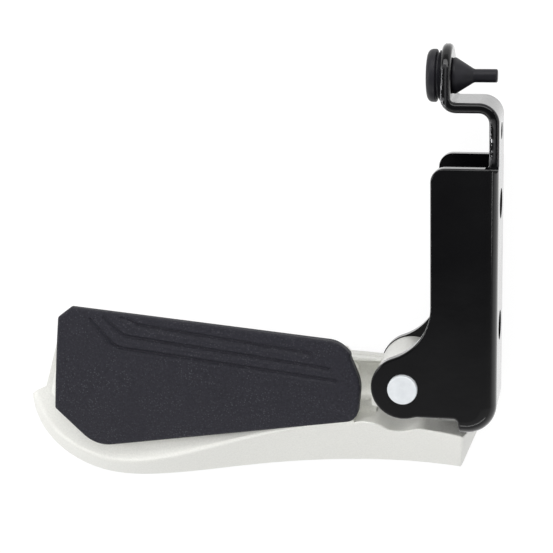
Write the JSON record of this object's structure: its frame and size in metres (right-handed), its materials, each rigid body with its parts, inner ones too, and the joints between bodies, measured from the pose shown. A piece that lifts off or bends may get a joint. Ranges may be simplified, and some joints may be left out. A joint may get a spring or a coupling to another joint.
{
  "type": "passenger footpeg",
  "caption": "Fold-out passenger footpeg: a cast alloy peg with a grooved rubber tread, hinged on a pressed steel frame bracket that carries a rubber stop bumper",
  "frame": {"origin": "midway between the two frame bolt holes, on the bracket face that meets the frame", "axes": "+X points out of the mounting face into the frame, +Y runs along the bracket from the hinge to the bumper, +Z is the hinge axis and the way the tread faces"},
  "size_m": [0.1989, 0.1874, 0.043],
  "materials": {
    "black_paint": "deep gloss black paint",
    "silver_casting": "satin silver paint over a fine cast surface",
    "tread_rubber": "charcoal moulded rubber with a fine grain",
    "plated_steel": "bright zinc plate",
    "bearing_steel": "bare polished steel",
    "bumper_rubber": "satin black rubber"
  },
  "bodies": {
    "bracket": {"mounting_bracket": "black_paint", "stop_bumper": "bumper_rubber", "hinge_pin": "plated_steel", "pin_washer": "plated_steel", "split_pin": "plated_steel"},
    "peg": {"footpeg_casting": "silver_casting", "tread_rubber": "tread_rubber", "detent_spring": "bearing_steel"},
    "ball": {"detent_ball": "bearing_steel"}
  },
  "joints": [
    {"name": "peg_fold", "type": "hinge", "parent": "bracket", "child": "peg", "pos_m": [-0.037, -0.048, 0], "axis": [0, 0, -1], "range_deg": [0, 81]},
    {"name": "ball_press", "type": "slide", "parent": "peg", "child": "ball", "axis": [0, 0, 1], "range_m": [0, 0.0008], "stiffness_N_per_m": 1500, "springref_m": -0.003, "deforming": ["detent_spring"]}
  ]
}
